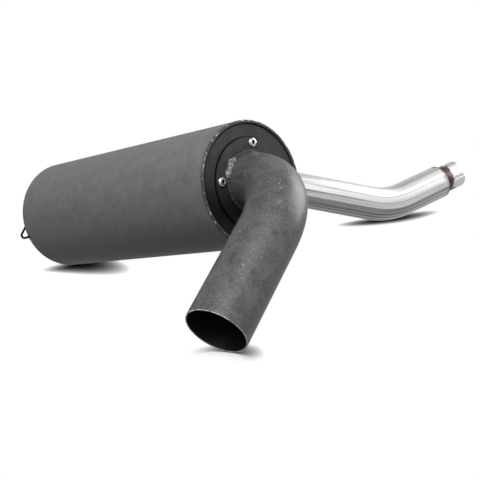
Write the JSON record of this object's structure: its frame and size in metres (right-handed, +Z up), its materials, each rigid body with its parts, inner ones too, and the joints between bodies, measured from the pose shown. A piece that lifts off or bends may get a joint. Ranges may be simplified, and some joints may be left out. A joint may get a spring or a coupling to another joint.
{
  "type": "exhaust muffler",
  "caption": "Round canister exhaust muffler with a bent side inlet pipe, a slotted slip sleeve and a screwed outlet elbow that carries a spark arrestor.",
  "frame": {"origin": "centre of the slip sleeve's open end, where the header pipe goes in", "axes": "+Z up from the bench that the muffler lies on; +X is the level direction of the canister axis, towards the outlet, so the axis rises 9.47 degrees out of it; +Y points away from the canister towards the inlet"},
  "size_m": [0.5498, 0.7748, 0.2014],
  "materials": {
    "black_coat": "fine-grained high-temperature black coating",
    "black_weld": "coated weld bead, rough",
    "bare_steel": "drawn and lightly brushed stainless steel",
    "sleeve_steel": "brushed stainless steel with brown heat tint at the weld",
    "bare_weld": "bare weld bead with heat tint",
    "screw_steel": "bright plated steel",
    "inner_steel": "plain sheet steel",
    "fibre": "glass-fibre packing",
    "gasket": "graphite sheet"
  },
  "bodies": {
    "canister": {"shell": "black_coat", "dish_end": "black_coat", "rim_ring": "black_coat", "end_plate": "black_coat", "weld_nuts": "inner_steel", "core_collar": "inner_steel", "bulkhead": "inner_steel", "core_tube": "inner_steel", "packing": "fibre", "inlet_pipe": "bare_steel", "inlet_weld": "bare_weld", "mouth_ring": "bare_steel", "slip_sleeve": "sleeve_steel", "sleeve_weld": "bare_weld", "spring_loop": "black_coat"},
    "outlet": {"gasket": "gasket", "outlet_flange": "black_coat", "outlet_elbow": "black_coat", "elbow_weld": "black_weld", "arrestor_collar": "inner_steel", "arrestor_screen": "inner_steel", "arrestor_cap": "inner_steel"},
    "screws": {"flange_screws": "screw_steel"}
  },
  "joints": [
    {"name": "outlet_draw", "type": "slide", "parent": "canister", "child": "outlet", "axis": [0.9864, 0, 0.1645], "range_m": [0, 0.125]},
    {"name": "screws_out", "type": "slide", "parent": "outlet", "child": "screws", "axis": [0.9864, 0, 0.1645], "range_m": [0, 0.018]}
  ]
}
